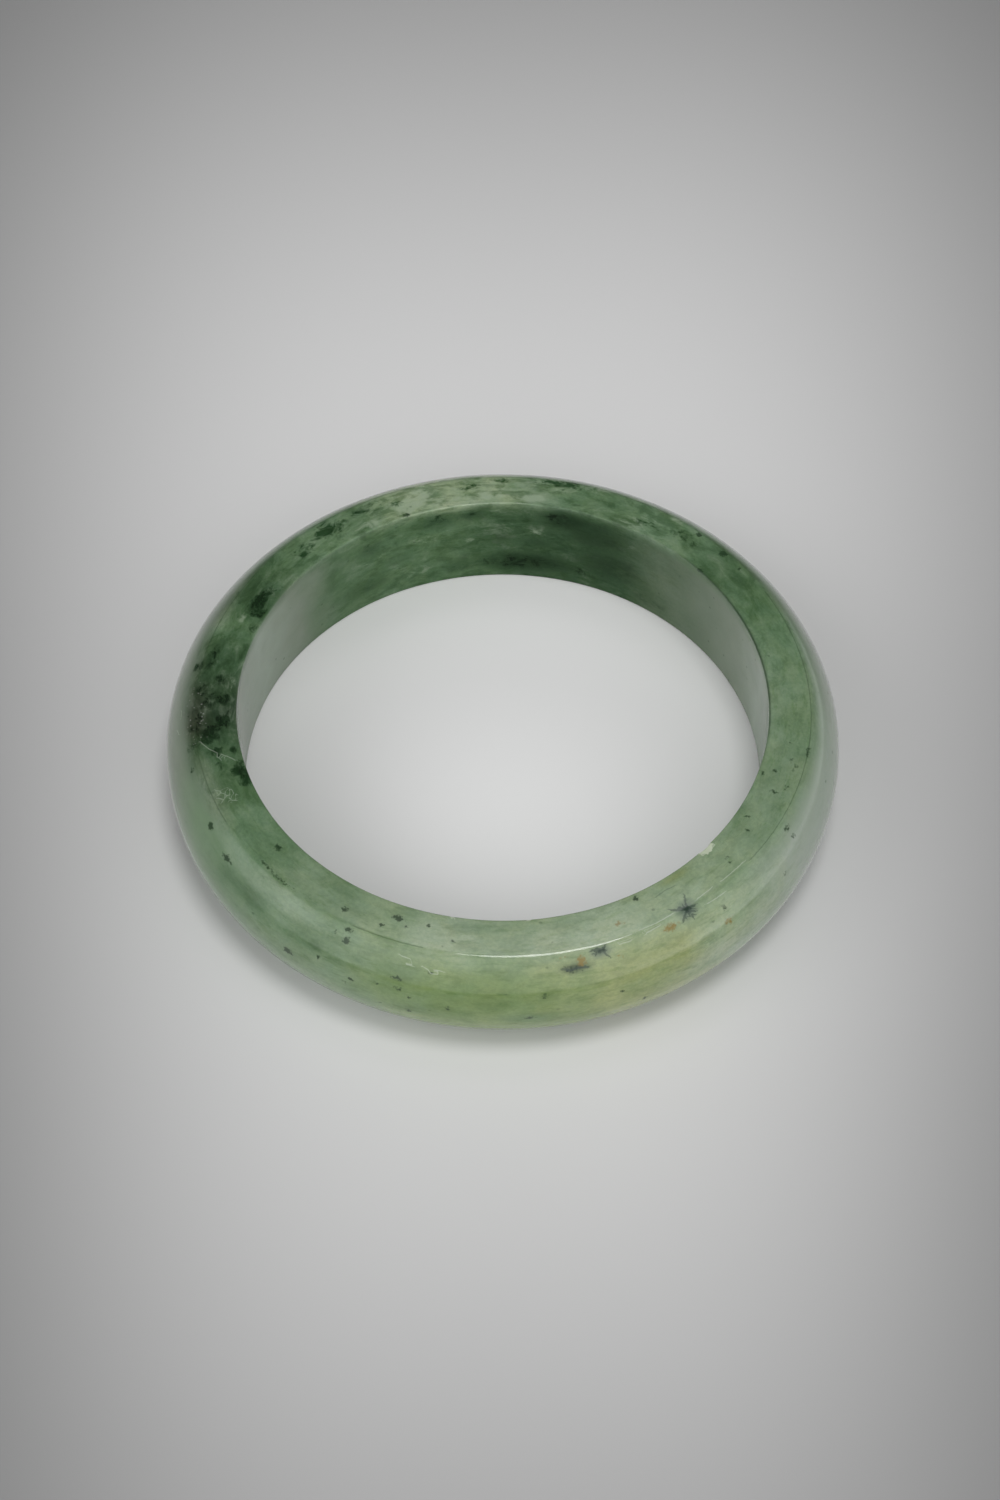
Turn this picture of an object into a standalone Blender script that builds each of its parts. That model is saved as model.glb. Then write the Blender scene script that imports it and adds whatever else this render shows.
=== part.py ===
"""A solid stone bangle, cut and polished from one block of nephrite jade.

Metres, +Z up. The bangle lies flat with its axis on Z. The origin is on that axis, in the
plane of the lower end face. The section is the same all round: a straight wall round the
wrist hole, a flat land on each end face, a low crease where the land ends, and a domed
outer side between the two creases.
"""

from math import cos, pi, radians, sin, tau

import bpy

# Driving dimensions
INNER_RADIUS = 0.0290  # the wrist hole is 58 mm across
OUTER_RADIUS = 0.0370  # the widest point of the dome, at half height
HEIGHT = 0.0124  # along the wrist
CREASE_RADIUS = 0.0333  # where each flat land ends and the dome begins
CREASE_ANGLE = radians(24.0)  # how far round its ellipse the dome begins
EDGE_RADIUS = 0.0004  # rounding between the wrist hole and each land

# Facets
TURN_STEPS = 96
DOME_STEPS = 12
EDGE_STEPS = 3

# Polished green stone: a dielectric, so it has no metallic share
STONE_COLOUR = (0.135, 0.225, 0.135, 1.0)
STONE_ROUGHNESS = 0.14
STONE_METALLIC = 0.0

MERGE_DISTANCE = 0.00001


def clear_scene():
    for scene_object in list(bpy.data.objects):
        bpy.data.objects.remove(scene_object, do_unlink=True)


def arc(centre_x, centre_z, radius_x, radius_z, start, end, steps):
    """Points round an ellipse in the XZ plane, with angles counted from +X towards +Z."""
    points = []
    for step in range(steps + 1):
        angle = start + (end - start) * step / steps
        points.append((centre_x + radius_x * cos(angle), centre_z + radius_z * sin(angle)))
    return points


def dome():
    """The outer side, from the upper crease down to the lower one, as part of an ellipse."""
    half_height = HEIGHT / 2
    start = pi / 2 - CREASE_ANGLE
    reach = (OUTER_RADIUS - CREASE_RADIUS) / (1 - sin(CREASE_ANGLE))
    rise = half_height / cos(CREASE_ANGLE)
    return arc(OUTER_RADIUS - reach, half_height, reach, rise, start, -start, DOME_STEPS)


def section():
    """The closed outline at +X: up the wrist hole's edge, out, down the dome, and back in."""
    edge_centre = INNER_RADIUS + EDGE_RADIUS
    upper_edge = arc(
        edge_centre, HEIGHT - EDGE_RADIUS, EDGE_RADIUS, EDGE_RADIUS, pi, pi / 2, EDGE_STEPS
    )
    lower_edge = arc(edge_centre, EDGE_RADIUS, EDGE_RADIUS, EDGE_RADIUS, -pi / 2, -pi, EDGE_STEPS)
    return upper_edge + dome() + lower_edge


def stone_material():
    material = bpy.data.materials.new("nephrite_jade")
    material.use_nodes = True
    shader = material.node_tree.nodes["Principled BSDF"]
    shader.inputs["Base Color"].default_value = STONE_COLOUR
    shader.inputs["Roughness"].default_value = STONE_ROUGHNESS
    shader.inputs["Metallic"].default_value = STONE_METALLIC
    return material


def turned_ring(name, outline, material, collection):
    """A closed outline at +X, turned once about Z."""
    corners = [(x, 0.0, z) for x, z in outline]
    edges = [(i, (i + 1) % len(corners)) for i in range(len(corners))]
    mesh = bpy.data.meshes.new(name)
    mesh.from_pydata(corners, edges, [])
    mesh.materials.append(material)
    ring = bpy.data.objects.new(name, mesh)
    collection.objects.link(ring)

    turn = ring.modifiers.new("turn", "SCREW")
    turn.axis = "Z"
    turn.angle = tau
    turn.steps = TURN_STEPS
    turn.render_steps = TURN_STEPS
    turn.use_merge_vertices = True
    turn.merge_threshold = MERGE_DISTANCE
    turn.use_smooth_shade = True
    return ring


def main():
    clear_scene()
    collection = bpy.data.collections.new("jade_bangle")
    bpy.context.scene.collection.children.link(collection)
    turned_ring("jade_ring", section(), stone_material(), collection)


main()
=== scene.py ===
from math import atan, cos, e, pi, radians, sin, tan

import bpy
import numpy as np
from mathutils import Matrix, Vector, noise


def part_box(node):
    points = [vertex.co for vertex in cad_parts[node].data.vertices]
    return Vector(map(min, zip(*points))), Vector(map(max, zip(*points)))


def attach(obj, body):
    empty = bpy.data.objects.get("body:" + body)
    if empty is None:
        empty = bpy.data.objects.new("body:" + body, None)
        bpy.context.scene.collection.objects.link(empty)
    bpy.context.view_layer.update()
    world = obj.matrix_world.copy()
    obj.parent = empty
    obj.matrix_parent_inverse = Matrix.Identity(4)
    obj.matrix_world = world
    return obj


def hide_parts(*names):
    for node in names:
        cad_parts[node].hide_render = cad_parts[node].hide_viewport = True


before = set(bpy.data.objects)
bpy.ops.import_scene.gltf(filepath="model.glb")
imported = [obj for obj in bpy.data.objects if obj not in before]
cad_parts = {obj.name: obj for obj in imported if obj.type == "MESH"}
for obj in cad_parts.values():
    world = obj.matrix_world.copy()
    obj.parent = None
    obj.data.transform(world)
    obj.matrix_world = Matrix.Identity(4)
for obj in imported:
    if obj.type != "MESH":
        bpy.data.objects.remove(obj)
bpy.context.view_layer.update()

# The looks of a solid nephrite jade bangle. Blender works in metres; the section, the stone's
# colouring and its inclusions are given in millimetres and degrees.
#
# A place on the stone is (azimuth, station). Azimuth is in degrees round the axis, 0 at -Y and
# growing towards +X. Station is in millimetres along the section: 0 at the wrist hole's upper
# edge, growing outwards over the upper land and down the dome, and negative down the wrist
# hole's wall.

MM = 0.001
NODE = "jade_ring"

# ---------------------------------------------------------------- sizes read from the CAD node

low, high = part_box(NODE)
cad_points = np.array([v.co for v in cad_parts[NODE].data.vertices]) / MM
cad_radii = np.hypot(cad_points[:, 0], cad_points[:, 1])
on_top = cad_points[:, 2] > high.z / MM - 0.001

HEIGHT = (high.z - low.z) / MM
OUTER_RADIUS = (high.x - low.x) / 2 / MM
HOLE_RADIUS = cad_radii.min()
CREASE_RADIUS = cad_radii[on_top].max()
LAND = CREASE_RADIUS - HOLE_RADIUS

# ---------------------------------------------------------------- how the stone was worked

DOME_START = radians(24.0)  # where the dome's ellipse begins, at the crease
LAND_CROWN = 0.10  # how far the land falls from the hole's edge to the crease
CROWN_POWER = 2.4
POLISH_SOFTNESS = 0.14  # how far the polish rounds every edge
HOLE_OVAL = 0.22  # the hole is that much narrower from side to side than from front to back
UNEVENNESS = 0.035  # slow waves left by grinding by hand
FACET_TILT = radians(13.0)  # a narrow flat ground along part of the crease
FACET_SPAN = (8.0, 46.0)  # degrees of azimuth
FACET_DEPTH = 0.02

# Mesh spacing in mm along the section, and columns round the ring
COARSE = 0.34
FINE = 0.10
COLUMNS = 672
OUTLINE_SPACING = 0.02


def dome_outline():
    """The dome from crease to crease: part of an ellipse, as dense radius and height rows."""
    reach = (OUTER_RADIUS - CREASE_RADIUS) / (1 - sin(DOME_START))
    rise = HEIGHT / 2 / cos(DOME_START)
    angle = np.linspace(DOME_START, pi - DOME_START, 900)
    radius = OUTER_RADIUS - reach + reach * np.sin(angle)
    height = HEIGHT / 2 + rise * np.cos(angle)
    return radius, height


def sharp_section():
    """The closed section before polishing, as station, radius and height at even spacing."""
    radius, height = dome_outline()
    dome_length = np.hypot(np.diff(radius), np.diff(height)).sum()
    land = np.linspace(HOLE_RADIUS, CREASE_RADIUS, 200)
    fall = LAND_CROWN * ((land - HOLE_RADIUS) / LAND) ** CROWN_POWER
    shrink = 1 - 2 * LAND_CROWN / HEIGHT
    radius = np.concatenate([[HOLE_RADIUS], land, radius, land[::-1], [HOLE_RADIUS]])
    dome_height = HEIGHT / 2 + (height - HEIGHT / 2) * shrink
    height = np.concatenate([[0.0], HEIGHT - fall, dome_height, fall[::-1], [0.0]])
    travel = np.concatenate([[0.0], np.cumsum(np.hypot(np.diff(radius), np.diff(height)))])
    count = int(travel[-1] / OUTLINE_SPACING)
    even = np.linspace(0.0, travel[-1], count, endpoint=False)
    station = even - HEIGHT
    return station, np.interp(even, travel, radius), np.interp(even, travel, height), dome_length


def polished(values):
    """A closed outline's values, smoothed over POLISH_SOFTNESS as polishing rounds an edge."""
    reach = int(4 * POLISH_SOFTNESS / OUTLINE_SPACING)
    offsets = np.arange(-reach, reach + 1) * OUTLINE_SPACING
    weights = np.exp(-0.5 * (offsets / POLISH_SOFTNESS) ** 2)
    wrapped = np.concatenate([values[-reach:], values, values[:reach]])
    return np.convolve(wrapped, weights / weights.sum(), mode="valid")


def mesh_stations(start, end, edges):
    """Stations for the mesh's rows, closest together round the edges and the creases."""
    stations = [start]
    while True:
        nearest = min(abs(stations[-1] - edge) for edge in edges)
        step = COARSE - (COARSE - FINE) * np.exp(-((nearest / 0.55) ** 2))
        if stations[-1] + 1.4 * step > end:
            return np.array(stations)
        stations.append(stations[-1] + step)


def smoothstep(low_edge, high_edge, value):
    share = np.clip((value - low_edge) / (high_edge - low_edge), 0.0, 1.0)
    return share * share * (3 - 2 * share)


def around(azimuth, centre):
    """Degrees from centre to azimuth, the short way round."""
    return (azimuth - centre + 180.0) % 360.0 - 180.0


def waves(points, size, seed):
    """Smooth noise from about -1 to 1 at each point, with features of the given size in mm."""
    shift = Vector((seed * 7.3, seed * 3.1, seed * 5.7))
    return np.array([noise.noise(Vector(p) / size + shift) for p in points])


# ---------------------------------------------------------------- the stone's shape

# Nicks along the hole's upper edge: azimuth, length round the ring, width and depth
CHIPS = [
    (46.4, 2.0, 0.60, 0.15),
    (-10.0, 0.6, 0.20, 0.06),
    (5.2, 0.5, 0.18, 0.05),
]


class Stone:
    """The ring's grid of points, with the azimuth and station of each."""

    def __init__(self):
        station, radius, height, dome_length = sharp_section()
        radius = polished(radius)
        height = polished(height)
        self.land_end = LAND + dome_length
        edges = [-HEIGHT, 0.0, LAND, self.land_end, self.land_end + LAND]
        rows = mesh_stations(station[0], station[-1] + OUTLINE_SPACING, edges)
        columns = np.arange(COLUMNS) * 360.0 / COLUMNS - 180.0
        self.shape = (len(columns), len(rows))
        azimuth, rail = np.meshgrid(columns, rows, indexing="ij")
        self.azimuth = azimuth.ravel()
        self.station = rail.ravel()
        self.radius = np.interp(self.station, station, radius)
        self.height = np.interp(self.station, station, height)
        self.shape_hole()
        self.grind_facet()
        self.break_chips()
        self.points = self.place()
        self.points += self.normals() * self.unevenness()[:, None]

    def place(self):
        angle = np.radians(self.azimuth)
        return np.stack(
            [self.radius * np.sin(angle), -self.radius * np.cos(angle), self.height], axis=1
        )

    def shape_hole(self):
        nearness = np.clip((CREASE_RADIUS - self.radius) / LAND, 0.0, 1.0)
        self.radius = self.radius - HOLE_OVAL * np.sin(np.radians(self.azimuth)) ** 2 * nearness

    def grind_facet(self):
        """Cuts a narrow cone off the upper crease, over part of the ring."""
        start, end = FACET_SPAN
        span = smoothstep(start - 8, start + 8, self.azimuth)
        span *= 1 - smoothstep(end - 8, end + 8, self.azimuth)
        beat = 0.012 * np.sin(np.radians(self.azimuth) * 41.0)
        top = HEIGHT - LAND_CROWN - FACET_DEPTH * span + 0.35 * (1 - span) + beat
        cut = top - (self.radius - CREASE_RADIUS) * tan(FACET_TILT)
        upper = self.height > HEIGHT / 2
        self.height = np.where(upper, np.minimum(self.height, cut), self.height)

    def break_chips(self):
        """Scoops the nicks out of the hole's upper edge."""
        for azimuth, length, width, depth in CHIPS:
            along = around(self.azimuth, azimuth) * radians(1) * HOLE_RADIUS / (length / 2)
            across = (self.station - 0.3 * width) / width
            scoop = depth * np.clip(1 - along**2 - across**2, 0.0, 1.0) ** 0.6
            self.height -= scoop * 0.8
            self.radius += scoop * 0.5

    def normals(self):
        grid = self.points.reshape(*self.shape, 3)
        along = np.roll(grid, -1, axis=0) - np.roll(grid, 1, axis=0)
        across = np.roll(grid, -1, axis=1) - np.roll(grid, 1, axis=1)
        normal = np.cross(across, along)
        normal /= np.linalg.norm(normal, axis=2, keepdims=True)
        return normal.reshape(-1, 3)

    def unevenness(self):
        """Slow waves, mostly pushing the surface inwards."""
        wave = 0.7 * waves(self.points, 9.0, 1) + 0.3 * waves(self.points, 3.5, 2)
        return UNEVENNESS * (wave - 0.8)

    def faces(self):
        columns, rows = self.shape
        index = np.arange(columns * rows).reshape(columns, rows)
        right = np.roll(index, -1, axis=0)
        return np.stack(
            [index, np.roll(index, -1, axis=1), np.roll(right, -1, axis=1), right], axis=2
        ).reshape(-1, 4)


# ---------------------------------------------------------------- the stone's colouring

# The stone's own colours, as display values from 0 to 255, and two pale greys that paint the floor's reflection
PALETTE = {
    "pine": (46, 66, 46),
    "moss": (70, 97, 69),
    "leaf": (92, 121, 89),
    "sage": (110, 137, 107),
    "celadon": (126, 149, 121),
    "mist": (140, 161, 131),
    "milk": (153, 171, 143),
    "painted_reflection_grey": (136, 148, 132),
    "painted_reflection_pale": (161, 173, 160),
    "olive": (128, 149, 101),
    "smoke": (86, 106, 83),
    "ash": (114, 129, 110),
    "fir": (60, 87, 60),
    "straw": (149, 161, 114),
    "bark": (60, 62, 50),
    "slate": (84, 100, 94),
}

# Azimuth and colour name: the land round the hole, the dome and the hole's wall. The pale
# greys on the sides of the dome and of the wall are painted reflection of the floor.
LAND_ZONES = [
    (-180, "milk"), (-164, "milk"), (-153, "mist"), (-147, "leaf"), (-138, "sage"), (-132, "leaf"),
    (-120, "moss"), (-108, "leaf"), (-98, "moss"), (-86, "pine"), (-76, "moss"),
    (-68, "leaf"), (-58, "sage"), (-46, "sage"), (-36, "celadon"), (-24, "mist"),
    (-14, "milk"), (20, "milk"), (34, "milk"), (48, "mist"), (60, "celadon"),
    (74, "celadon"), (92, "celadon"), (104, "sage"), (118, "leaf"), (129, "leaf"),
    (143, "sage"), (156, "leaf"), (168, "sage"), (175, "celadon"),
]
DOME_ZONES = [
    (-180, "sage"), (-155, "celadon"), (-135, "sage"), (-116, "painted_reflection_grey"), (-96, "painted_reflection_grey"),
    (-78, "painted_reflection_grey"), (-64, "celadon"), (-50, "sage"), (-38, "celadon"), (-28, "celadon"), (-12, "olive"),
    (6, "olive"), (18, "straw"), (30, "straw"), (42, "milk"), (58, "painted_reflection_pale"),
    (84, "painted_reflection_pale"), (112, "painted_reflection_grey"), (138, "sage"), (160, "sage"),
]
WALL_ZONES = [
    (-180, "moss"), (-168, "leaf"), (-154, "leaf"), (-140, "leaf"), (-124, "painted_reflection_grey"),
    (-110, "painted_reflection_pale"), (-90, "painted_reflection_grey"), (-60, "leaf"), (-30, "sage"), (0, "celadon"), (30, "celadon"),
    (60, "sage"), (98, "painted_reflection_pale"), (114, "painted_reflection_grey"), (129, "ash"), (143, "smoke"),
    (153, "fir"), (168, "fir"), (176, "moss"),
]

# Green-black patches: azimuth, station, length round the ring, width and strength
DARK_PATCHES = [
    # on the upper land and the dome, left of centre
    (-117.5, 1.8, 4.6, 1.8, 1.1), (-115.0, 1.2, 2.6, 1.6, 1.0), (-120.0, 0.9, 2.0, 1.0, 0.7), (-109.3, 0.5, 1.7, 1.0, 0.8),
    (-100.5, 3.4, 3.4, 1.2, 0.72), (-98.0, 4.6, 1.6, 1.8, 0.7), (-94.5, 1.8, 1.8, 1.5, 0.85),
    (-92.0, 3.6, 2.2, 1.6, 0.75), (-89.6, 1.4, 1.9, 1.7, 1.0), (-89.0, 2.8, 2.6, 1.6, 0.8),
    (-84.5, 1.5, 2.6, 1.7, 1.0), (-84.6, 4.4, 4.4, 2.2, 0.72), (-80.8, 3.0, 2.8, 2.2, 0.95),
    (-78.5, 4.9, 2.2, 1.6, 0.7), (-76.4, 2.4, 1.6, 1.2, 0.8), (-75.8, 0.9, 1.2, 0.8, 0.7),
    (-69.3, 0.6, 3.4, 2.0, 1.2), (-72.6, 2.6, 1.2, 0.8, 0.6),
    # on the upper land at the back
    (-173.0, 3.0, 3.2, 0.9, 0.82), (-157.0, 2.4, 1.6, 0.8, 0.8), (-157.8, 0.3, 1.1, 0.6, 0.8),
    (-141.5, 3.0, 4.5, 2.2, 0.78), (-134.0, 2.4, 3.5, 1.7, 0.7), (168.0, 4.0, 6.0, 1.4, 0.8),
    (-151.0, 3.4, 4.0, 1.6, 0.70), (147.0, 1.6, 4.0, 1.2, 0.60), (-179.0, 3.8, 3.0, 1.0, 0.70),
    (139.0, 2.6, 4.0, 1.6, 0.60),
    # on the back of the hole's wall
    (176.0, -9.7, 9.0, 2.2, 0.60), (167.0, -1.8, 3.0, 1.8, 0.60), (160.0, -10.0, 4.0, 1.4, 0.45),
    (-166.0, -1.6, 3.0, 1.4, 0.50), (-148.5, -2.2, 1.6, 1.0, 0.50), (-172.0, -1.3, 2.4, 1.2, 0.50),
    # on the back of the dome and underneath
    (-151.0, 8.4, 6.0, 2.8, 0.70), (-143.0, 11.0, 4.0, 2.0, 0.65), (171.0, 9.6, 8.0, 3.4, 0.80),
    (177.0, 12.8, 4.0, 2.0, 0.70), (-171.0, 14.6, 6.0, 2.6, 0.70), (146.0, 12.4, 5.0, 2.4, 0.62),
    (-128.0, 9.6, 4.6, 2.2, 0.60), (-120.0, 13.0, 3.0, 1.8, 0.60), (-100.0, 15.0, 5.0, 2.4, 0.60),
    (-88.0, 12.4, 3.0, 1.6, 0.60), (160.0, 7.4, 3.0, 1.4, 0.70), (-164.0, 6.8, 3.0, 1.2, 0.60),
    (-130.0, 22.0, 6.0, 2.4, 0.80), (-96.0, 21.6, 5.0, 2.0, 0.90), (178.0, 22.4, 7.0, 2.2, 0.70),
    (120.0, 21.5, 5.0, 1.8, 0.50), (20.0, 22.0, 3.0, 1.2, 0.50), (-40.0, 22.5, 2.6, 1.2, 0.60),
]

# Broad soft shades on the back of the hole's wall, listed in the same way
WALL_SHADES = [
    (176.0, -9.8, 13.0, 3.4, 1.0), (-170.0, -10.0, 5.0, 2.6, 0.7), (165.0, -2.0, 6.5, 3.6, 1.0),
    (158.0, -3.4, 9.0, 5.0, 0.8), (154.0, -7.6, 9.0, 5.6, 0.75), (172.0, -6.4, 4.5, 1.8, 0.5),
    (-173.0, -1.6, 4.0, 2.2, 0.7), (-165.0, -2.0, 6.0, 2.8, 0.75), (-155.0, -6.4, 4.0, 2.4, 0.4),
    (-148.0, -3.2, 4.0, 2.6, 0.6), (-146.0, -9.0, 7.0, 3.0, 0.55), (144.0, -10.4, 6.0, 2.6, 0.45),
    (-178.0, -5.6, 6.0, 3.6, 0.4), (-173.0, -8.6, 4.0, 2.4, 0.4),
]

# Cream clouds, listed in the same way
PALE_PATCHES = [
    (150.5, 0.8, 3.6, 1.6, 0.9), (146.4, 2.6, 3.4, 1.2, 0.62), (143.2, 4.3, 2.4, 1.3, 0.6),
    (167.5, 3.0, 3.4, 1.2, 0.7), (174.0, 1.0, 3.0, 1.3, 0.85), (174.0, 3.5, 4.2, 1.3, 0.66),
    (161.0, 4.3, 4.0, 1.5, 0.6), (-176.0, 1.5, 5.4, 1.5, 0.8), (-165.0, 1.2, 6.0, 1.3, 0.75),
    (-158.0, 1.0, 3.2, 1.4, 0.95), (-162.0, 3.2, 5.0, 1.2, 0.6), (-149.0, 0.9, 4.0, 1.1, 0.66), (-66.0, 3.1, 2.8, 1.6, 0.5),
    (-113.0, 2.2, 3.0, 0.7, 0.50), (-94.0, 0.7, 3.2, 0.9, 0.42), 
    (-164.0, -4.6, 7.5, 2.0, 0.42), (-158.5, -9.8, 5.0, 2.0, 0.44), (-172.5, -6.2, 6.0, 1.6, 0.38),
    (-179.0, -4.6, 7.0, 2.0, 0.38), (-176.5, -1.4, 3.6, 1.6, 0.34), (-148.0, -4.8, 4.0, 1.6, 0.35),
    (149.5, -3.6, 3.0, 3.2, 0.30), (172.0, -4.8, 4.0, 1.6, 0.30),
    (-160.0, 2.4, 6.0, 3.0, 0.75), (-160.0, 10.6, 8.0, 2.4, 0.70), (180.0, 6.8, 7.0, 1.6, 0.70), (155.0, 9.4, 6.0, 2.0, 0.60),
    (-138.0, 7.2, 4.0, 1.4, 0.60), (-146.0, 14.0, 6.0, 2.2, 0.60), (164.0, 14.4, 6.0, 2.0, 0.60),
    (-170.0, 22.0, 8.0, 2.0, 0.70), (150.0, 22.2, 5.0, 1.6, 0.60), (-112.0, 22.0, 4.0, 1.4, 0.60),
]

# Soft colour drifts: azimuth, station, length round the ring, width, colour and strength
DRIFTS = [
    (-46.5, 7.6, 4.0, 2.2, "moss", 0.5), (-33.5, 7.6, 4.5, 2.0, "leaf", 0.6),
    (-31.8, 8.1, 1.6, 1.0, "moss", 0.5), (-24.3, 7.4, 1.8, 0.9, "leaf", 0.5),
    (-16.0, 7.2, 4.0, 1.6, "sage", 0.5), (-52.5, 7.6, 3.0, 1.5, "moss", 0.35),
    (-4.0, 1.0, 7.0, 1.4, "sage", 0.45), (12.0, 1.2, 5.0, 1.2, "sage", 0.4),
    (28.5, 7.4, 3.6, 4.0, "straw", 0.7), (0.0, 10.5, 8.0, 2.2, "olive", 0.4),
    (4.0, 11.8, 7.0, 1.6, "leaf", 0.5), (24.0, 7.3, 2.0, 0.8, "straw", 0.6),
    (36.5, 0.6, 3.6, 0.9, "straw", 0.9), (8.0, 6.0, 5.0, 1.4, "straw", 0.45),
    (70.0, 2.4, 4.0, 3.0, "leaf", 0.4), (84.0, 2.0, 3.0, 3.0, "leaf", 0.35),
    (55.0, 3.4, 4.0, 1.4, "leaf", 0.3), (-84.0, 4.2, 5.0, 2.4, "bark", 0.6),
    (-90.0, 4.0, 4.0, 2.0, "bark", 0.3), (34.2, 4.4, 2.2, 1.7, "slate", 0.8),
    (16.9, 5.1, 2.0, 1.1, "slate", 0.7), (12.3, 6.2, 2.8, 0.9, "pine", 0.85),
    # the pale grey drifts on the left of the dome are painted reflection
    (-67.0, 4.6, 9.0, 2.2, "painted_reflection_grey", 0.55), (-112.0, 5.0, 8.0, 2.2, "painted_reflection_grey", 0.5),
    (-99.0, 4.7, 4.0, 1.2, "painted_reflection_grey", 0.35), (106.0, 0.02, 30.0, 0.5, "pine", 0.75),
    (126.0, 2.2, 8.0, 4.0, "moss", 0.35), (-22.0, 6.6, 9.0, 3.0, "sage", 0.40),
    (-34.0, 10.0, 8.0, 3.0, "leaf", 0.20), (-14.0, 11.6, 9.0, 1.6, "leaf", 0.25),
    # the pale drift low on the dome's front right is painted reflection
    (40.0, 11.0, 14.0, 3.0, "painted_reflection_pale", 0.45),
]

# Crisp dark specks, and two thin marks of painted shade along the crease at -44 and -47.5:
# azimuth, station, length round the ring and width
SPECKS_AND_CREASE_SHADE = [
    (-49.2, 1.8, 0.8, 0.7), (-30.0, 3.0, 0.7, 0.6), (-20.2, 1.7, 1.2, 0.7), (-22.5, 3.1, 0.5, 0.5),
    (-18.0, 2.4, 0.4, 0.3), (-14.2, 1.6, 0.6, 0.4), (-9.0, 3.0, 0.4, 0.4), (-27.5, 4.9, 0.9, 0.4),
    (-27.1, 6.0, 0.9, 0.8), (-29.5, 5.6, 0.3, 0.3), (-54.6, 6.6, 1.5, 0.6), (-36.7, 10.6, 1.3, 0.7),
    (-24.8, 10.0, 0.7, 0.5), (-26.0, 10.8, 0.5, 0.4), (-20.6, 9.3, 0.5, 0.4), (-16.8, 9.2, 0.7, 0.4),
    (-15.0, 10.1, 0.5, 0.5), (-15.0, 12.2, 0.6, 0.5), (-19.6, 12.2, 0.4, 0.4),
    (-17.2, 8.0, 1.0, 0.4), (-12.0, 6.7, 0.5, 0.3), (-8.7, 10.6, 0.5, 0.5), (-31.0, 9.0, 0.5, 0.5),
    (-61.6, 6.1, 0.9, 0.7), (-74.2, 5.6, 0.5, 0.5), (-44.0, 4.1, 2.6, 0.2), (-47.5, 4.0, 1.4, 0.2),
    (6.8, 8.8, 0.6, 0.35), (5.0, 9.0, 0.2, 0.2), (19.5, 10.0, 0.5, 0.3), (23.0, 12.5, 0.9, 0.4),
    (4.2, 11.7, 0.8, 0.5), (27.2, 0.7, 0.7, 0.5), (47.3, 2.4, 0.5, 0.3), (47.4, 3.0, 0.5, 0.3),
    (40.4, 6.4, 0.4, 0.5), (60.3, 5.4, 0.8, 0.5), (60.2, 6.5, 0.5, 0.4), (69.5, 0.5, 0.6, 0.3),
    (73.3, 3.5, 0.6, 0.3), (77.5, 4.4, 0.9, 0.3), (68.0, 3.3, 0.7, 0.3), (78.8, 2.6, 0.5, 0.2),
    (130.3, 3.9, 0.9, 0.9), (137.2, 4.0, 0.7, 0.8), (125.5, 3.7, 0.4, 0.4), (130.0, 0.1, 1.0, 0.5),
    (10.6, 6.1, 0.8, 0.3), (11.6, 6.5, 0.7, 0.4), (12.3, 6.2, 0.6, 0.4), (13.9, 6.4, 0.7, 0.2),
    (54.3, 8.5, 0.4, 0.4), (-157.8, 0.3, 0.9, 0.5), (34.2, 4.3, 0.8, 0.5), (16.9, 5.0, 0.9, 0.4),
    (71.0, 1.6, 0.5, 0.4), (74.6, 2.9, 0.4, 0.3), (66.0, 2.4, 0.3, 0.7), (58.0, 1.2, 0.3, 0.5),
    (55.4, 2.2, 0.3, 0.6),
]

# Ochre stains: azimuth, station, length round the ring and width
OCHRES = [
    (13.4, 5.6, 1.0, 1.1), (30.0, 5.2, 1.5, 0.8), (22.0, 2.75, 0.7, 0.5), (40.3, 7.9, 0.9, 0.7),
    (20.0, 6.1, 0.5, 0.3), (10.3, 4.9, 0.6, 0.25),
]

# Needles of dark mineral, grown as stars: runs of azimuth and station
NEEDLES = [
    [(31.7, 3.6), (33.2, 4.2), (34.2, 4.4), (36.0, 4.4)],
    [(35.5, 3.0), (34.8, 3.7), (34.2, 4.4), (34.6, 5.4)],
    [(33.2, 3.8), (34.2, 4.4), (32.6, 5.2)],
    [(34.2, 4.4), (35.4, 5.0)],
    [(15.4, 4.8), (16.6, 4.8), (17.4, 5.2), (18.1, 5.8)],
    [(16.0, 5.2), (17.2, 5.0), (17.8, 4.7)],
    [(10.1, 6.1), (11.4, 6.3), (12.6, 6.2), (14.1, 6.3)],
]

# Healed cracks and pale scratches, as runs of azimuth and station
CRACKS = [
    [(-79.2, 3.9), (-77.4, 3.2), (-76.0, 2.4), (-74.6, 1.5), (-73.4, 0.9)],
    [(-76.0, 2.4), (-75.2, 2.6), (-74.4, 2.3)],
    [(-67.4, 3.7), (-66.7, 3.2), (-66.3, 3.6)],
    [(-66.3, 2.9), (-65.6, 3.2), (-65.3, 2.7)],
    [(-65.5, 3.8), (-64.8, 3.4), (-64.4, 3.7)],
    [(-66.9, 2.5), (-66.2, 2.2)],
    [(-64.7, 2.6), (-64.1, 2.9), (-63.7, 2.4)],
    [(-65.6, 2.3), (-65.0, 2.1)],
    [(-88.6, 6.3), (-87.0, 6.3)],
    [(-84.6, 6.9), (-83.6, 6.7)],
]

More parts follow.
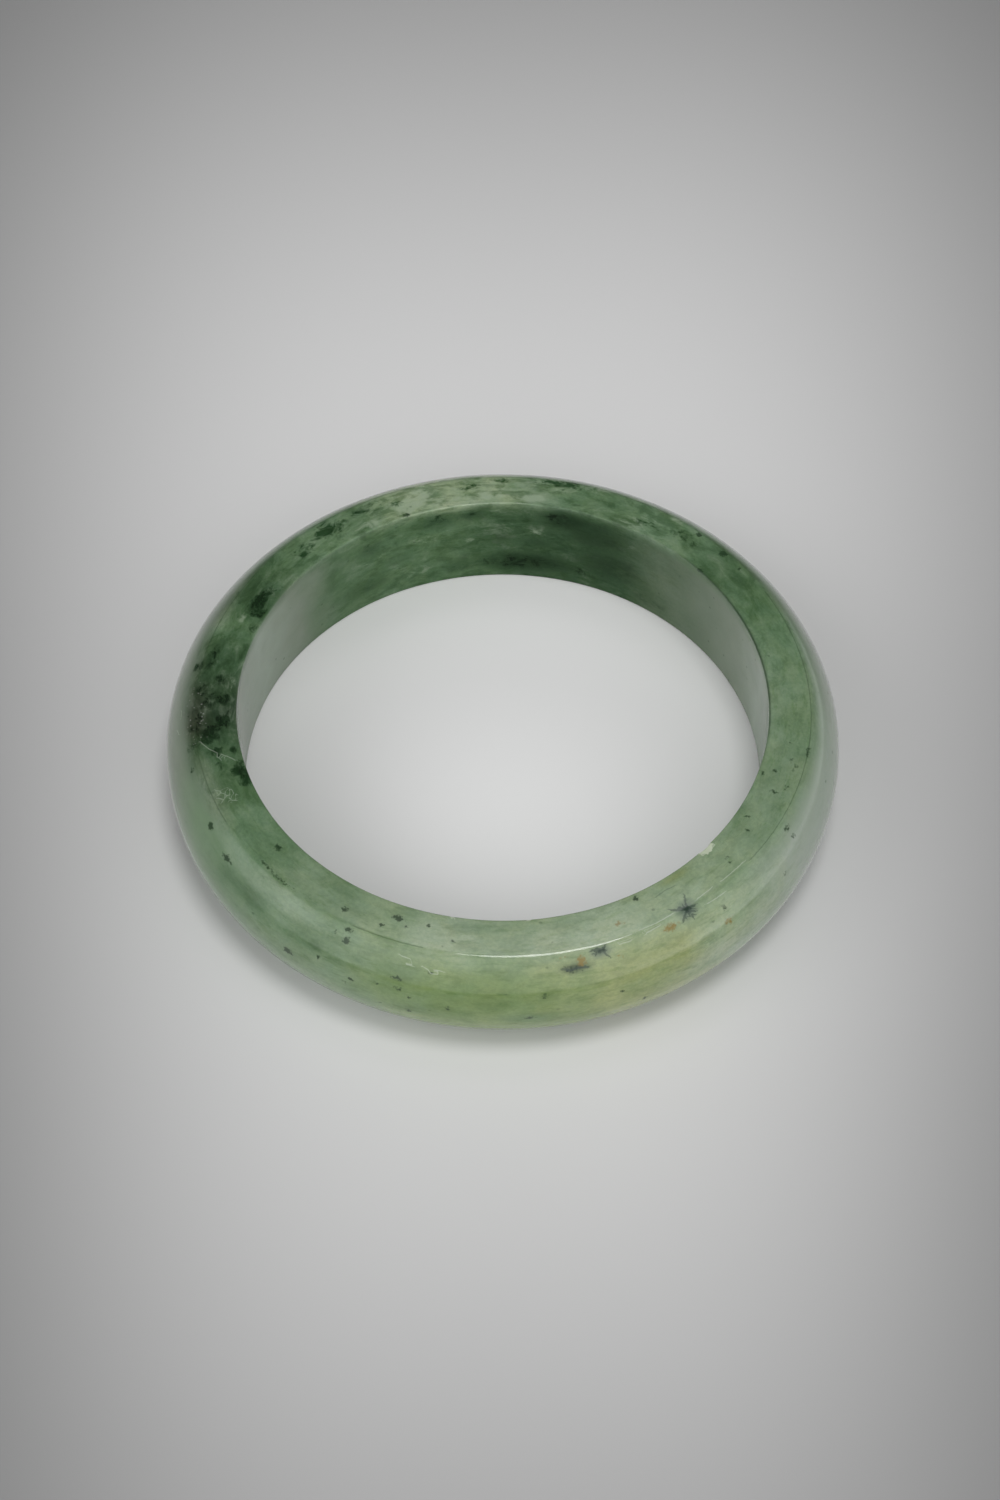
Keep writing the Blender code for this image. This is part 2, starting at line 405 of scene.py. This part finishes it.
# Bright scratches on the dome, and painted glints of the crease and the facet's edges beside it, listed in the same
# way
SCRATCHES_AND_GLINTS = [
    [(-17.4, 5.6), (-16.6, 5.65), (-15.7, 5.7)],
    [(-16.0, 6.3), (-15.0, 6.35)],
    [(-13.2, 6.2), (-12.2, 6.45), (-11.0, 6.3), (-9.8, 6.35)],
    [(-12.0, 6.75), (-10.6, 6.7)],
    [(16.5, 4.45), (20.0, 4.35), (23.0, 4.3)],
    [(24.5, 4.2), (28.0, 4.2), (31.5, 4.05)],
    [(20.5, 4.9), (22.5, 4.95)],
    [(25.5, 4.75), (28.5, 4.6)],
    [(37.0, 4.0), (40.5, 3.9)],
    [(43.0, 3.95), (49.0, 4.0)],
    [(38.0, 5.0), (42.0, 5.1)],
]

# Thin dark lines: painted shade along parts of the crease, a line under a stained nick, and lines on the hole's edge
DARK_LINES_AND_CREASE_SHADE = [
    [(-124.0, 4.3), (-92.0, 4.4), (-60.0, 4.35)],
    [(-27.0, 4.3), (-14.0, 4.3)],
    [(50.0, 4.35), (84.0, 4.4), (118.0, 4.3)],
    [(31.0, 1.5), (33.4, 1.35), (35.2, 1.45)],
    [(134.0, 0.02), (112.0, 0.0), (80.0, 0.02)],
    [(134.0, 0.14), (112.0, 0.12), (84.0, 0.14)],
]

SHARPEST = 1.5  # distances beyond this many mm aren't kept


def linear(display):
    """A display colour from 0 to 255 as a linear colour."""
    share = np.array(display, float) / 255.0
    return np.where(share <= 0.04045, share / 12.92, ((share + 0.055) / 1.055) ** 2.4)


def zone_colours(azimuth, zones):
    """Colours blended round the ring between the named stops."""
    stops = np.array([stop for stop, _ in zones] + [zones[0][0] + 360.0])
    colours = np.array([linear(PALETTE[name]) for _, name in zones + zones[:1]])
    place = stops[0] + (azimuth - stops[0]) % 360.0
    return np.stack([np.interp(place, stops, colours[:, k]) for k in range(3)], axis=1)


def offsets(stone, azimuth, station):
    """Millimetres round the ring and along the section from a place to every point."""
    along = around(stone.azimuth, azimuth) * radians(1) * stone.radius
    return along, stone.station - station


def blot_distance(stone, azimuth, station, length, width):
    """Roughly the distance in mm outside an oval blot, negative inside it."""
    along, across = offsets(stone, azimuth, station)
    ratio = np.hypot(along / (length / 2), across / (width / 2))
    return (ratio - 1) * min(length, width) / 2


def stroke_distance(stone, start, end):
    """The distance in mm from a straight stroke, negative on its right-hand side."""
    along, across = offsets(stone, *start)
    far_along = radians(end[0] - start[0]) * CREASE_RADIUS
    far_across = end[1] - start[1]
    length_squared = far_along**2 + far_across**2
    share = np.clip((along * far_along + across * far_across) / length_squared, 0.0, 1.0)
    gap = np.hypot(along - share * far_along, across - share * far_across)
    return np.where(far_along * across < far_across * along, -gap, gap)


def base_colours(stone):
    """The stone's soft colouring: zones round the ring, and the clouds and patches in them."""
    drift = 5.0 * waves(stone.points, 5.0, 3) + 2.5 * waves(stone.points, 2.0, 4)
    azimuth = stone.azimuth + drift
    land = zone_colours(azimuth, LAND_ZONES)
    dome = zone_colours(azimuth, DOME_ZONES)
    wall = zone_colours(azimuth, WALL_ZONES)
    outer = smoothstep(3.9, 7.2, stone.station + 0.06 * drift)[:, None]
    inner = smoothstep(0.6, -1.6, stone.station + 0.1 * drift)[:, None]
    under = smoothstep(stone.land_end - 4.0, stone.land_end + LAND, stone.station)[:, None]
    colour = land * (1 - outer) + dome * outer
    inner = np.maximum(inner, under)
    colour = colour * (1 - inner) + wall * inner

    for azimuth_at, station, length, width, name, strength in DRIFTS:
        cover = patch_share(stone, azimuth_at, station, length, width, strength)[:, None]
        colour = colour * (1 - cover) + linear(PALETTE[name]) * cover
    return colour


def patch_share(stone, azimuth, station, length, width, strength):
    along, across = offsets(stone, azimuth, station)
    ratio = np.hypot(along / (length / 2), across / (width / 2))
    return strength * smoothstep(1.7, 0.2, ratio)


def patches(stone, listed):
    """How far each place lies inside the listed patches, 0 outside them all."""
    return np.max([patch_share(stone, *patch) for patch in listed], axis=0)


def nearest_blot(stone, blots):
    gaps = [blot_distance(stone, *blot) for blot in blots]
    return np.clip(np.min(gaps, axis=0), -SHARPEST, SHARPEST)


def nearest_run(stone, runs):
    """The signed distance in mm from the nearest of some runs of straight strokes."""
    strokes = [pair for run in runs for pair in zip(run, run[1:])]
    gaps = np.array([stroke_distance(stone, start, end) for start, end in strokes])
    closest = np.abs(gaps).argmin(axis=0)
    return np.clip(gaps[closest, np.arange(gaps.shape[1])], -SHARPEST, SHARPEST)


def grain(stone):
    """How strongly the fine streaks show: hardly on the smooth sides of the dome and the hole."""
    aside = np.abs(around(stone.azimuth, 0.0))
    flank = smoothstep(38.0, 66.0, aside) * smoothstep(152.0, 126.0, aside)
    dome = smoothstep(4.2, 6.0, stone.station) * flank
    wall = smoothstep(0.2, -1.0, stone.station) * smoothstep(152.0, 124.0, aside)
    return 1.0 - 0.85 * np.maximum(dome, wall)


def polish(stone):
    """How well each place is polished: the hole's wall is only smoothed."""
    under = smoothstep(stone.land_end + LAND - 0.6, stone.land_end + LAND, stone.station)
    return smoothstep(-0.7, 0.0, stone.station) * (1 - 0.5 * under)


def bedding(stone):
    """A place in mm on a straight tube, so that the grain can run round the ring."""
    angle = np.radians(stone.azimuth)
    reach = np.full(len(angle), CREASE_RADIUS)
    return np.stack([reach * np.sin(angle), -reach * np.cos(angle), stone.station], axis=1)


def mottling(stone):
    """How strongly each place is mottled: least on the pale front, most at the back and left."""
    back = 0.5 - 0.5 * np.cos(np.radians(around(stone.azimuth, 10.0)))
    left = smoothstep(34.0, 8.0, np.abs(around(stone.azimuth, -88.0)))
    wall = smoothstep(0.5, -1.0, stone.station)
    middle = smoothstep(0.80, 0.94, back)
    share = 0.26 + 0.55 * back**2 + 0.30 * left
    return grain(stone) * np.clip(share * (1 - wall) + (0.10 + 0.50 * middle) * wall, 0.0, 1.0)


def salt(stone):
    """Where the dark patch on the left is sprinkled with tiny pale grains."""
    along, across = offsets(stone, -86.0, 4.3)
    return smoothstep(1.3, 0.3, np.hypot(along / 4.5, across / 1.6))


def chip_cover(stone):
    gaps = [
        blot_distance(stone, azimuth, 0.3 * width, length, 2 * width)
        for azimuth, length, width, depth in CHIPS
    ]
    return np.clip(np.min(gaps, axis=0), -SHARPEST, SHARPEST)


# ---------------------------------------------------------------- building the mesh

def make_ring(stone):
    faces = stone.faces()
    mesh = bpy.data.meshes.new("polished_jade_ring")
    mesh.from_pydata((stone.points * MM).tolist(), [], faces.tolist())
    mesh.shade_smooth()
    ring = bpy.data.objects.new("polished_jade_ring", mesh)
    bpy.context.scene.collection.objects.link(ring)

    tint = mesh.color_attributes.new("tint", "FLOAT_COLOR", "POINT")
    colours = np.column_stack([base_colours(stone), np.ones(len(stone.points))])
    tint.data.foreach_set("color", colours.astype(np.float32).ravel())
    fields = {
        "speck_and_crease_shade": nearest_blot(stone, SPECKS_AND_CREASE_SHADE),
        "ochre": nearest_blot(stone, OCHRES),
        "chip": chip_cover(stone),
        "dark": patches(stone, DARK_PATCHES),
        "shade": patches(stone, WALL_SHADES),
        "pale": patches(stone, PALE_PATCHES),
        "grain": grain(stone),
        "polish": polish(stone),
        "mottling": mottling(stone),
        "salt": salt(stone),
    }
    for name, runs in (("needle", NEEDLES), ("crack", CRACKS), ("scratch_and_glint", SCRATCHES_AND_GLINTS), ("line", DARK_LINES_AND_CREASE_SHADE)):
        fields[name] = nearest_run(stone, runs)
        fields[name + "_reach"] = np.abs(fields[name])
    for name, values in fields.items():
        field = mesh.attributes.new(name, "FLOAT", "POINT")
        field.data.foreach_set("value", values.astype(np.float32))
    places = mesh.attributes.new("bedding", "FLOAT_VECTOR", "POINT")
    places.data.foreach_set("vector", bedding(stone).astype(np.float32).ravel())
    return ring


# ---------------------------------------------------------------- materials

class Nodes:
    """A material's node tree, with a short call for each kind of node it uses."""

    def __init__(self, name):
        self.material = bpy.data.materials.new(name)
        self.material.use_nodes = True
        self.tree = self.material.node_tree
        self.shader = self.tree.nodes["Principled BSDF"]

    def add(self, kind, **settings):
        node = self.tree.nodes.new(kind)
        for key, value in settings.items():
            setattr(node, key, value)
        return node

    def link(self, source, target):
        if isinstance(source, (int, float)):
            target.default_value = source
        elif isinstance(source, tuple):
            target.default_value = (*source, 1.0)
        else:
            self.tree.links.new(source, target)

    def object_coordinates(self, stretch=(1.0, 1.0, 1.0)):
        mapping = self.add("ShaderNodeMapping")
        mapping.inputs["Scale"].default_value = stretch
        coordinates = self.add("ShaderNodeTexCoord")
        self.link(coordinates.outputs["Object"], mapping.inputs["Vector"])
        return mapping.outputs["Vector"]

    def noise(self, size, detail=3.0, stretch=(1.0, 1.0, 1.0), roughness=0.55, distortion=0.0):
        """Noise from 0 to 1 with features of the given size in mm."""
        node = self.add("ShaderNodeTexNoise")
        self.link(self.object_coordinates(stretch), node.inputs["Vector"])
        node.inputs["Scale"].default_value = 1.0 / (size * MM)
        node.inputs["Detail"].default_value = detail
        node.inputs["Roughness"].default_value = roughness
        node.inputs["Distortion"].default_value = distortion
        return node.outputs["Fac"]

    def ring_coordinates(self, squeeze):
        """Millimetres along the ring and across it, with features squeezed across it."""
        mapping = self.add("ShaderNodeMapping")
        mapping.inputs["Scale"].default_value = (1.0, 1.0, squeeze)
        self.link(self.attribute("bedding", "Vector"), mapping.inputs["Vector"])
        return mapping.outputs["Vector"]

    def streaks(self, size, squeeze=1.0, detail=3.0, roughness=0.55, distortion=0.0):
        """Noise from 0 to 1, of the given size in mm along the ring and finer across it."""
        node = self.add("ShaderNodeTexNoise")
        self.link(self.ring_coordinates(squeeze), node.inputs["Vector"])
        node.inputs["Scale"].default_value = 1.0 / size
        node.inputs["Detail"].default_value = detail
        node.inputs["Roughness"].default_value = roughness
        node.inputs["Distortion"].default_value = distortion
        return node.outputs["Fac"]

    def cells(self, size, squeeze=1.0):
        """Distance from scattered points, with cells of the given size in mm."""
        node = self.add("ShaderNodeTexVoronoi")
        self.link(self.ring_coordinates(squeeze), node.inputs["Vector"])
        node.inputs["Scale"].default_value = 1.0 / size
        return node.outputs["Distance"]

    def attribute(self, name, output="Fac"):
        return self.add("ShaderNodeAttribute", attribute_name=name).outputs[output]

    def math(self, operation, first, second=0.0, third=0.0):
        node = self.add("ShaderNodeMath", operation=operation)
        for source, target in zip((first, second, third), node.inputs):
            self.link(source, target)
        return node.outputs[0]

    def thin_line(self, name, waver, width):
        """1 on the named lines and 0 away from them, with a waver from a noise about 0."""
        gap = self.math("ABSOLUTE", self.math("ADD", self.attribute(name), waver))
        near = self.ramp(self.attribute(name + "_reach"), 0.42, 0.26)
        return self.math("MULTIPLY", self.ramp(gap, width, 0.25 * width), near)

    def patches(self, name, grain, start, end, raggedness=4.2):
        """1 inside the named patches, with ragged edges that follow the grain."""
        field = self.attribute(name)
        level = self.math("MULTIPLY_ADD", self.math("SUBTRACT", grain, 0.5), raggedness, field)
        return self.math("MULTIPLY", self.ramp(level, start, end), self.ramp(field, 0.03, 0.40))

    def ramp(self, value, start, end, low_value=0.0, high_value=1.0):
        """Maps start..end smoothly to low_value..high_value."""
        node = self.add("ShaderNodeMapRange", interpolation_type="SMOOTHSTEP")
        for source, name in (
            (value, "Value"),
            (start, "From Min"),
            (end, "From Max"),
            (low_value, "To Min"),
            (high_value, "To Max"),
        ):
            self.link(source, node.inputs[name])
        return node.outputs["Result"]

    def span(self, value, start, end):
        """Maps start..end evenly to 0..1, and holds it there beyond both."""
        node = self.add("ShaderNodeMapRange")
        for source, name in ((value, "Value"), (start, "From Min"), (end, "From Max")):
            self.link(source, node.inputs[name])
        return node.outputs["Result"]

    def mix(self, share, first, second, blend="MIX"):
        node = self.add("ShaderNodeMix", data_type="RGBA", blend_type=blend)
        self.link(share, node.inputs[0])
        self.link(first, node.inputs[6])
        self.link(second, node.inputs[7])
        return node.outputs[2]

    def bump(self, height, distance, strength=1.0, normal=None):
        node = self.add("ShaderNodeBump")
        node.inputs["Strength"].default_value = strength
        node.inputs["Distance"].default_value = distance * MM
        self.link(height, node.inputs["Height"])
        if normal is not None:
            self.link(normal, node.inputs["Normal"])
        return node.outputs["Normal"]


def jade_material():
    nodes = Nodes("polished_nephrite")
    fine = nodes.noise(0.35, detail=3.0)
    ragged = nodes.math("MULTIPLY_ADD", fine, 0.8, -0.40)
    mottling = nodes.attribute("mottling")

    # broad clouds and a drift between warm and cool, then mottling drawn out along the ring
    clouds = nodes.streaks(6.0, squeeze=1.4)
    warmth = nodes.streaks(4.2, squeeze=1.8, detail=4.0, distortion=0.4)
    mottles = nodes.streaks(3.2, squeeze=2.2, detail=8.0, roughness=0.66, distortion=0.4)
    threads = nodes.streaks(2.6, squeeze=4.5, detail=6.0, roughness=0.66)
    edge = nodes.streaks(1.7, squeeze=1.7, detail=7.0, roughness=0.70, distortion=0.7)
    felt = nodes.streaks(0.42, squeeze=1.3, detail=3.0, roughness=0.7)
    colour = nodes.attribute("tint", "Color")
    grain = nodes.attribute("grain")

    def layer(share, most, tint):
        return nodes.mix(nodes.math("MULTIPLY", nodes.math("MULTIPLY", share, most), grain), colour, tint, "MULTIPLY")

    colour = layer(nodes.ramp(clouds, 0.62, 0.34), 0.55, (0.64, 0.75, 0.62))
    colour = layer(nodes.ramp(warmth, 0.36, 0.64), 0.6, (1.10, 1.03, 0.95))
    dark_share = nodes.math("MULTIPLY", nodes.ramp(mottles, 0.53, 0.37), mottling)
    colour = nodes.mix(dark_share, colour, (0.40, 0.50, 0.38), "MULTIPLY")
    pale_share = nodes.math("MULTIPLY", nodes.ramp(mottles, 0.50, 0.76), mottling)
    colour = nodes.mix(nodes.math("MULTIPLY", pale_share, 0.42), colour, (0.36, 0.45, 0.33))
    colour = layer(nodes.ramp(threads, 0.50, 0.34), 0.52, (0.66, 0.76, 0.60))
    colour = layer(nodes.ramp(felt, 0.38, 0.64), 0.60, (1.24, 1.20, 1.18))

    # cream clouds and green-black patches, both with the mottling showing through
    pale_patch = nodes.patches("pale", mottles, 0.30, 1.15)
    colour = nodes.mix(nodes.math("MULTIPLY", pale_patch, 0.60), colour, (0.36, 0.45, 0.32))
    shade = nodes.patches("shade", mottles, 0.10, 1.15, raggedness=2.6)
    colour = nodes.mix(nodes.math("MULTIPLY", shade, 0.95), colour, (0.24, 0.36, 0.26), "MULTIPLY")
    dark_patch = nodes.patches("dark", edge, 0.22, 1.05)
    colour = nodes.mix(nodes.math("MULTIPLY", dark_patch, 0.95), colour, (0.10, 0.22, 0.11), "MULTIPLY")

    # small green-black flecks scattered through the whole stone
    flecks = nodes.math("ADD", nodes.cells(2.6, 1.4), nodes.math("MULTIPLY_ADD", fine, 0.14, -0.07))
    colour = nodes.mix(nodes.ramp(flecks, 0.10, 0.04, 0.0, 0.40), colour, (0.030, 0.065, 0.030))

    ochre = nodes.math("MULTIPLY_ADD", ragged, 1.5, nodes.attribute("ochre"))
    colour = nodes.mix(nodes.ramp(ochre, 0.16, -0.30, 0.0, 0.80), colour, (0.25, 0.165, 0.030))
    # dark specks, and painted shade in two thin marks along the crease
    speck_and_crease_shade = nodes.math("ADD", nodes.attribute("speck_and_crease_shade"), ragged)
    colour = nodes.mix(nodes.ramp(speck_and_crease_shade, 0.12, -0.12, 0.0, 0.86), colour, (0.014, 0.040, 0.014))
    tremble = nodes.math("MULTIPLY", ragged, 0.5)
    colour = nodes.mix(
        nodes.math("MULTIPLY", nodes.thin_line("needle", tremble, 0.19), 0.60), colour, (0.034, 0.058, 0.046)
    )
    grains = nodes.math("MULTIPLY", nodes.ramp(nodes.cells(0.50), 0.24, 0.10), nodes.attribute("salt"))
    colour = nodes.mix(nodes.math("MULTIPLY", grains, 0.62), colour, (0.36, 0.37, 0.34))
    waver = nodes.math("MULTIPLY", ragged, 0.16)
    # thin dark lines; those along the crease are painted shade
    colour = nodes.mix(
        nodes.math("MULTIPLY", nodes.thin_line("line", waver, 0.10), 0.36), colour, (0.03, 0.06, 0.03)
    )
    crack_cover = nodes.thin_line("crack", waver, 0.075)
    colour = nodes.mix(nodes.math("MULTIPLY", crack_cover, 0.36), colour, (0.44, 0.53, 0.41))
    # bright scratches, and painted glints beside the crease
    scratch_and_glint_cover = nodes.math("MULTIPLY", nodes.thin_line("scratch_and_glint", waver, 0.085), 0.38)
    colour = nodes.mix(scratch_and_glint_cover, colour, (0.62, 0.68, 0.58))
    chipped = nodes.ramp(nodes.math("ADD", nodes.attribute("chip"), ragged), 0.08, -0.1)
    colour = nodes.mix(nodes.math("MULTIPLY", chipped, 0.80), colour, (0.66, 0.72, 0.56))
    nodes.link(colour, nodes.shader.inputs["Base Color"])

    # the polish: slightly uneven gloss, dull where the stone is chipped or cracked
    gloss = nodes.ramp(nodes.noise(2.2, detail=4.0), 0.35, 0.7, 0.10, 0.19)
    dull = nodes.math("MAXIMUM", chipped, crack_cover)
    nodes.link(nodes.math("MULTIPLY_ADD", dull, 0.32, gloss), nodes.shader.inputs["Roughness"])
    bare = nodes.math("MULTIPLY_ADD", dull, -0.8, 1.0)
    coat = nodes.math("MULTIPLY", nodes.math("MULTIPLY", nodes.attribute("polish"), bare), 0.75)
    nodes.link(coat, nodes.shader.inputs["Coat Weight"])
    ripple = nodes.bump(nodes.noise(1.3, detail=3.0), 0.005)
    pits = nodes.bump(nodes.noise(0.22, detail=2.0), 0.0012, normal=ripple)
    broken = nodes.math("MULTIPLY", dull, nodes.noise(0.3, detail=3.0))
    surface = nodes.bump(broken, 0.06, normal=pits)
    nodes.link(surface, nodes.shader.inputs["Normal"])
    nodes.link(surface, nodes.shader.inputs["Coat Normal"])

    shader = nodes.shader.inputs
    shader["IOR"].default_value = 1.62
    shader["Specular IOR Level"].default_value = 0.06
    shader["Coat IOR"].default_value = 1.62
    shader["Coat Roughness"].default_value = 0.11
    shader["Subsurface Weight"].default_value = 0.2
    shader["Subsurface Radius"].default_value = (0.7, 1.0, 0.6)
    shader["Subsurface Scale"].default_value = 0.4 * MM
    return nodes.material


PAPER_TONE = 0.85  # under the bangle, where the painted pool of light is brightest
PAPER_EDGE_TONE = 0.19  # far away


def floor_material():
    """Matt paper with painted light: palest under the bangle, greyer all round, and brighter still in the hole."""
    nodes = Nodes("grey_paper")
    parts = nodes.add("ShaderNodeSeparateXYZ")
    coordinates = nodes.add("ShaderNodeTexCoord")
    nodes.link(coordinates.outputs["Object"], parts.inputs[0])
    x, y = parts.outputs["X"], parts.outputs["Y"]
    # the painted pool of light falls off along three slopes added up: to the sides, wider towards the back, then
    # backwards and forwards
    spread = nodes.ramp(y, -0.083, 0.140, 0.0483, 0.0763)
    aside = nodes.math("POWER", nodes.math("ABSOLUTE", nodes.math("DIVIDE", x, spread)), 2.8)
    behind = nodes.math("POWER", nodes.math("MULTIPLY", nodes.math("MAXIMUM", nodes.math("SUBTRACT", y, 0.020), 0.0), 1 / 0.120), 2.0)
    before = nodes.math("POWER", nodes.math("MULTIPLY", nodes.math("MINIMUM", nodes.math("SUBTRACT", y, 0.020), 0.0), -1 / 0.103), 3.0)
    slope = nodes.math("MULTIPLY_ADD", behind, 0.86, nodes.math("MULTIPLY", aside, 0.95))
    slope = nodes.math("MULTIPLY_ADD", before, 0.62, slope)
    painted_light_pool = nodes.math("POWER", 1 / e, slope)
    # painted light on the floor inside the hole, where the ring's wall shades it
    middle = nodes.add("ShaderNodeVectorMath", operation="DISTANCE")
    nodes.link(coordinates.outputs["Object"], middle.inputs[0])
    middle.inputs[1].default_value = (0.0, -0.012, 0.0)
    painted_light_in_hole = nodes.ramp(middle.outputs["Value"], 0.028, 0.002, 1.0, 1.17)
    tone = nodes.math("MULTIPLY_ADD", painted_light_pool, PAPER_TONE - PAPER_EDGE_TONE, PAPER_EDGE_TONE)
    tone = nodes.math("MULTIPLY", tone, painted_light_in_hole)
    shade = nodes.add("ShaderNodeCombineColor")
    for channel in range(3):
        nodes.link(tone, shade.inputs[channel])
    nodes.link(shade.outputs[0], nodes.shader.inputs["Base Color"])
    nodes.shader.inputs["Roughness"].default_value = 0.9
    nodes.shader.inputs["Specular IOR Level"].default_value = 0.1
    return nodes.material


# ---------------------------------------------------------------- the stage

def make_floor():
    """A round sheet the bangle lies on, large enough to fill every view."""
    count = 96
    angles = np.arange(count) * 2 * pi / count
    rim = [(3.0 * cos(a), 3.0 * sin(a), low.z) for a in angles]
    mesh = bpy.data.meshes.new("floor")
    mesh.from_pydata(rim, [], [list(range(count))])
    floor = bpy.data.objects.new("floor", mesh)
    floor.data.materials.append(floor_material())
    bpy.context.scene.collection.objects.link(floor)


def direction(azimuth, elevation):
    """The unit vector from the bangle. Azimuth is counted as on the stone, so 180 is behind."""
    level = cos(radians(elevation))
    across = radians(azimuth)
    return Vector((level * sin(across), -level * cos(across), sin(radians(elevation))))


def make_softbox():
    """A round soft box overhead, seen only by its light and its reflections."""
    light = bpy.data.lights.new("softbox", "AREA")
    light.shape = "DISK"
    light.size = 2 * SOFTBOX_DISTANCE * tan(SOFTBOX_SPREAD)
    light.energy = SOFTBOX_POWER
    lamp = bpy.data.objects.new("softbox", light)
    lamp.location = direction(45.0, 81.5) * SOFTBOX_DISTANCE
    lamp.rotation_mode = "QUATERNION"
    lamp.rotation_quaternion = lamp.location.to_track_quat("Z", "Y")
    lamp.visible_camera = False
    bpy.context.scene.collection.objects.link(lamp)


SOFTBOX_DISTANCE = 0.9
SOFTBOX_SPREAD = radians(11.2)
SOFTBOX_POWER = 2.45

ROOM_GLOW = 0.08
FRONT_EDGE_GLOW = 0.80  # behind the camera, where the room meets the floor
FRONT_GLOW = 1.05  # behind the camera, half way up
RIGHT_HORIZON_GLOW = 0.72

# Soft round glows: azimuth, elevation, degrees to which they are even and at which they end,
# and brightness
GLOWS = [
    (174.0, 67.0, 3.0, 13.0, 1.5),
    (-79.0, 34.0, 8.0, 24.0, 1.1),
]


def make_world():
    """A dim room, bright on the camera's side and pale along the horizon at the right."""
    world = bpy.data.worlds.new("room")
    world.use_nodes = True
    tree = world.node_tree

    def ramp(value, start, end, low_value, high_value):
        node = tree.nodes.new("ShaderNodeMapRange")
        node.interpolation_type = "SMOOTHSTEP"
        tree.links.new(value, node.inputs["Value"])
        for name, number in (
            ("From Min", start),
            ("From Max", end),
            ("To Min", low_value),
            ("To Max", high_value),
        ):
            node.inputs[name].default_value = number
        return node.outputs["Result"]

    def math(operation, first, second):
        node = tree.nodes.new("ShaderNodeMath")
        node.operation = operation
        tree.links.new(first, node.inputs[0])
        if isinstance(second, float):
            node.inputs[1].default_value = second
        else:
            tree.links.new(second, node.inputs[1])
        return node.outputs[0]

    def glow(outlook, azimuth, elevation, even, end, brightness):
        node = tree.nodes.new("ShaderNodeVectorMath")
        node.operation = "DOT_PRODUCT"
        tree.links.new(outlook, node.inputs[0])
        node.inputs[1].default_value = direction(azimuth, elevation)
        edges = cos(radians(end)), cos(radians(even))
        return ramp(node.outputs["Value"], *edges, 0.0, brightness)

    outlook = tree.nodes.new("ShaderNodeTexCoord").outputs["Generated"]
    parts = tree.nodes.new("ShaderNodeSeparateXYZ")
    tree.links.new(outlook, parts.inputs[0])
    facing = ramp(parts.outputs["Y"], 0.20, -0.75, 0.0, 1.0)
    climb = ramp(parts.outputs["Z"], 0.0, 0.50, FRONT_EDGE_GLOW, FRONT_GLOW)
    crown = ramp(parts.outputs["Z"], 0.98, 0.76, 0.25, 1.0)
    strength = math("ADD", math("MULTIPLY", math("MULTIPLY", facing, climb), crown), ROOM_GLOW)
    low_down = ramp(parts.outputs["Z"], 0.30, 0.0, 0.0, RIGHT_HORIZON_GLOW)
    to_the_right = ramp(parts.outputs["X"], 0.45, 0.72, 0.0, 1.0)
    strength = math("ADD", strength, math("MULTIPLY", low_down, to_the_right))
    for place in GLOWS:
        strength = math("ADD", strength, glow(outlook, *place))
    background = tree.nodes["Background"]
    background.inputs["Color"].default_value = (1.0, 1.0, 1.0, 1.0)
    tree.links.new(strength, background.inputs["Strength"])
    bpy.context.scene.world = world


def make_camera():
    """A view down on the bangle from the front, filling two thirds of an upright frame."""
    elevation = radians(51.6)
    distance = 0.276
    centre = Vector((0.0, 0.0, (low.z + high.z) / 2))
    away = Vector((0.0, -cos(elevation), sin(elevation)))
    upward = Vector((0.0, sin(elevation), cos(elevation)))
    target = centre - 0.00185 * upward - Vector((0.0003, 0.0, 0.0))
    data = bpy.data.cameras.new("camera")
    data.lens = 60.0
    data.sensor_width = 36.0
    data.clip_start = 0.01
    data.clip_end = 20.0
    camera = bpy.data.objects.new("camera", data)
    camera.location = centre + away * distance
    camera.rotation_mode = "QUATERNION"
    camera.rotation_quaternion = (camera.location - target).to_track_quat("Z", "Y")
    bpy.context.scene.collection.objects.link(camera)
    bpy.context.scene.camera = camera


# ---------------------------------------------------------------- the whole scene

ring = make_ring(Stone())
ring.data.materials.append(jade_material())
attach(ring, "root")
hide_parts(NODE)

make_floor()
make_softbox()
make_world()
make_camera()
bpy.context.scene.view_settings.view_transform = "Standard"
